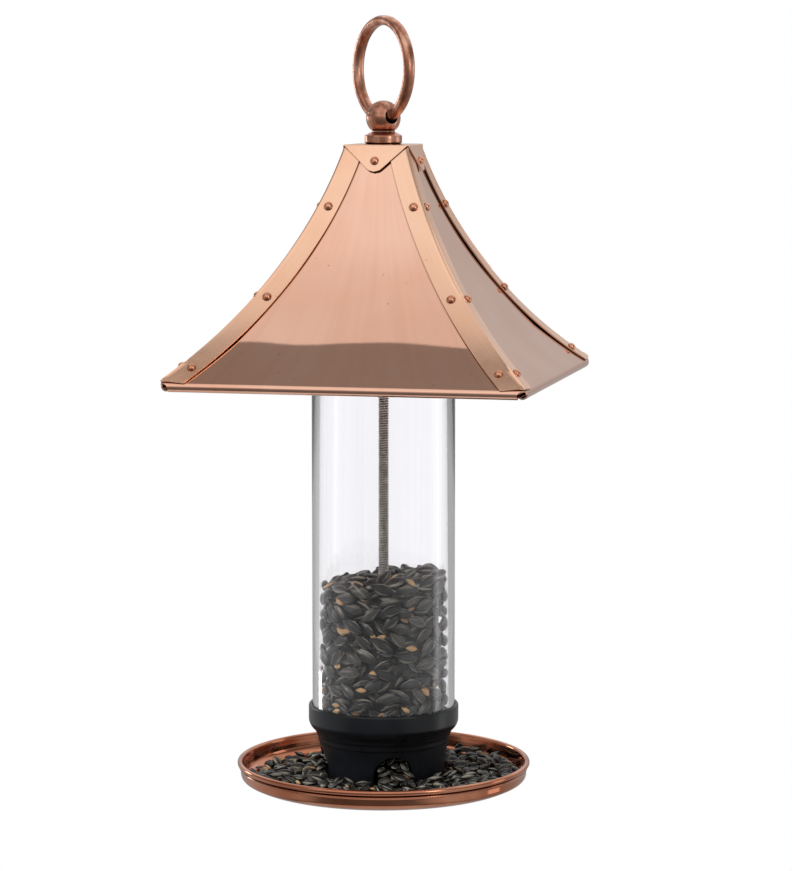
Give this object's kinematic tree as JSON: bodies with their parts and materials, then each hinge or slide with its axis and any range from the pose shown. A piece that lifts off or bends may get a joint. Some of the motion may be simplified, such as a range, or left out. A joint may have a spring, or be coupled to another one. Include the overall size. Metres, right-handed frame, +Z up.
{
  "type": "hanging bird feeder",
  "caption": "Seed feeder hung from a ring: flared square copper roof, clear tube on a threaded rod, ported base and round seed tray.",
  "frame": {"origin": "the point inside the top of the ring where a hook carries the feeder", "axes": "+Z up along the rod, roof sides parallel to X and Y, front towards -Y"},
  "size_m": [0.1572, 0.1572, 0.3405],
  "materials": {
    "copper": "polished sheet copper",
    "tray_copper": "spun copper, satin",
    "rivet_copper": "small domed rivets",
    "aged_copper": "aged copper plating",
    "steel": "zinc plated",
    "clear_plastic": "clear acrylic",
    "black_plastic": "moulded, satin",
    "seed": "dry striped seed"
  },
  "bodies": {
    "ring": {"hanging_ring": "aged_copper"},
    "finial": {"finial": "aged_copper"},
    "roof": {"roof_cap": "copper", "roof_panel_front": "copper", "roof_panel_right": "copper", "roof_panel_back": "copper", "roof_panel_left": "copper", "hip_strip_front_right": "copper", "hip_strip_back_right": "copper", "hip_strip_back_left": "copper", "hip_strip_front_left": "copper", "hip_rivets_front_right": "rivet_copper", "hip_rivets_back_right": "rivet_copper", "hip_rivets_back_left": "rivet_copper", "hip_rivets_front_left": "rivet_copper", "cap_rivets": "rivet_copper"},
    "feeder": {"center_rod": "steel", "roof_seat_washer": "steel", "roof_seat_nut": "steel", "feed_tube": "clear_plastic", "feeder_base": "black_plastic", "tray": "tray_copper", "tray_washer": "steel", "tray_nut": "steel", "tube_seed": "seed", "tray_seed": "seed"}
  },
  "joints": [
    {"name": "ring_swing", "type": "hinge", "parent": "ring", "child": "finial", "pos_m": [0, 0, -0.0395], "axis": [0.7071, -0.7071, 0], "range_deg": [-130, 130]},
    {"name": "finial_turn", "type": "hinge", "parent": "finial", "child": "roof", "pos_m": [0, 0, -0.0515], "axis": [0, 0, 1], "continuous": true},
    {"name": "roof_lift", "type": "slide", "parent": "roof", "child": "feeder", "axis": [0, 0, -1], "range_m": [0, 0.12]}
  ]
}
